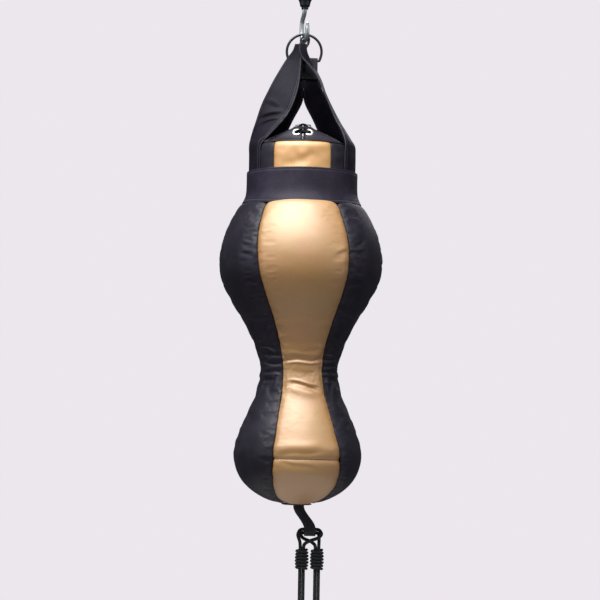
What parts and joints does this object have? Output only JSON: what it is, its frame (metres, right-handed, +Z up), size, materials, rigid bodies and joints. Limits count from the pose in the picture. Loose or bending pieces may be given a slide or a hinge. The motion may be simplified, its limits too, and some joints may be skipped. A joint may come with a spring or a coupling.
{
  "type": "hanging punch bag with elastic floor cords",
  "caption": "A peanut-shaped leather punch bag with gold front and back panels between black sides, hung by strap loops and a D-shaped ring from a swivel hook, with two doubled elastic cords and floor hooks below.",
  "frame": {"origin": "centre of the ceiling eye's ring, on the bag's own vertical axis", "axes": "+Z up, along the bag's length; -Y is the front that the picture shows; +X is the bag's left, the viewer's right"},
  "size_m": [0.3218, 0.3248, 1.3569],
  "materials": {
    "zinc_steel": "bright zinc-plated steel",
    "dark_steel": "dark blackened steel",
    "nickel": "polished nickel plate",
    "black_leather": "satin black leather",
    "gold_leather": "metallic gold leather with a soft sheen",
    "black_webbing": "woven black webbing",
    "black_cord": "braided black cord",
    "foam": "pale padding",
    "rag_filling": "packed textile filling"
  },
  "bodies": {
    "ceiling_swivel": {"top_eye": "zinc_steel", "swivel_housing": "dark_steel", "eye_nut": "zinc_steel", "lower_race": "zinc_steel", "ball_cage": "zinc_steel"},
    "hook": {"upper_race": "zinc_steel", "hook_nut": "zinc_steel", "hook": "zinc_steel"},
    "bag": {"d_ring": "dark_steel", "front_hook_loop": "black_webbing", "rear_ring_loop": "black_webbing", "front_strap_left": "black_leather", "front_strap_right": "black_leather", "rear_strap_left": "black_leather", "rear_strap_right": "black_leather", "lid_left": "black_leather", "lid_right": "black_leather", "eyelet_left_1": "nickel", "eyelet_left_2": "nickel", "eyelet_left_3": "nickel", "eyelet_left_4": "nickel", "eyelet_right_1": "nickel", "eyelet_right_2": "nickel", "eyelet_right_3": "nickel", "eyelet_right_4": "nickel", "lace": "black_cord", "collar_gold_front": "gold_leather", "collar_gold_back": "gold_leather", "collar_black_left": "black_leather", "collar_black_right": "black_leather", "top_band": "black_leather", "gold_front_upper": "gold_leather", "gold_front_lower": "gold_leather", "gold_back_upper": "gold_leather", "gold_back_lower": "gold_leather", "black_front_left": "black_leather", "black_front_right": "black_leather", "black_back_left": "black_leather", "black_back_right": "black_leather", "foam_liner": "foam", "rag_fill": "rag_filling", "base_patch": "black_leather", "tail_webbing": "black_webbing"},
    "cords": {"spring_cord_left": "black_cord", "spring_cord_right": "black_cord", "whipping_left": "black_cord", "whipping_right": "black_cord"},
    "floor_hooks": {"ferrule_left": "zinc_steel", "ferrule_right": "zinc_steel", "floor_hook_left": "zinc_steel", "floor_hook_right": "zinc_steel"}
  },
  "joints": [
    {"name": "hook_spin", "type": "hinge", "parent": "ceiling_swivel", "child": "hook", "pos_m": [0, 0, 0], "axis": [0, 0, 1], "continuous": true},
    {"name": "bag_sway", "type": "hinge", "parent": "hook", "child": "bag", "pos_m": [0, 0, -0.1495], "axis": [0.2756, -0.9613, 0], "range_deg": [-20, 20]},
    {"name": "cord_swing", "type": "hinge", "parent": "bag", "child": "cords", "pos_m": [0.027, 0, -1.1302], "axis": [1, 0, 0], "range_deg": [-35, 35]},
    {"name": "cord_stretch", "type": "slide", "parent": "cords", "child": "floor_hooks", "axis": [0, 0, -1], "range_m": [0, 0.1], "stiffness_N_per_m": 400, "deforming": ["spring_cord_left", "spring_cord_right"]}
  ]
}
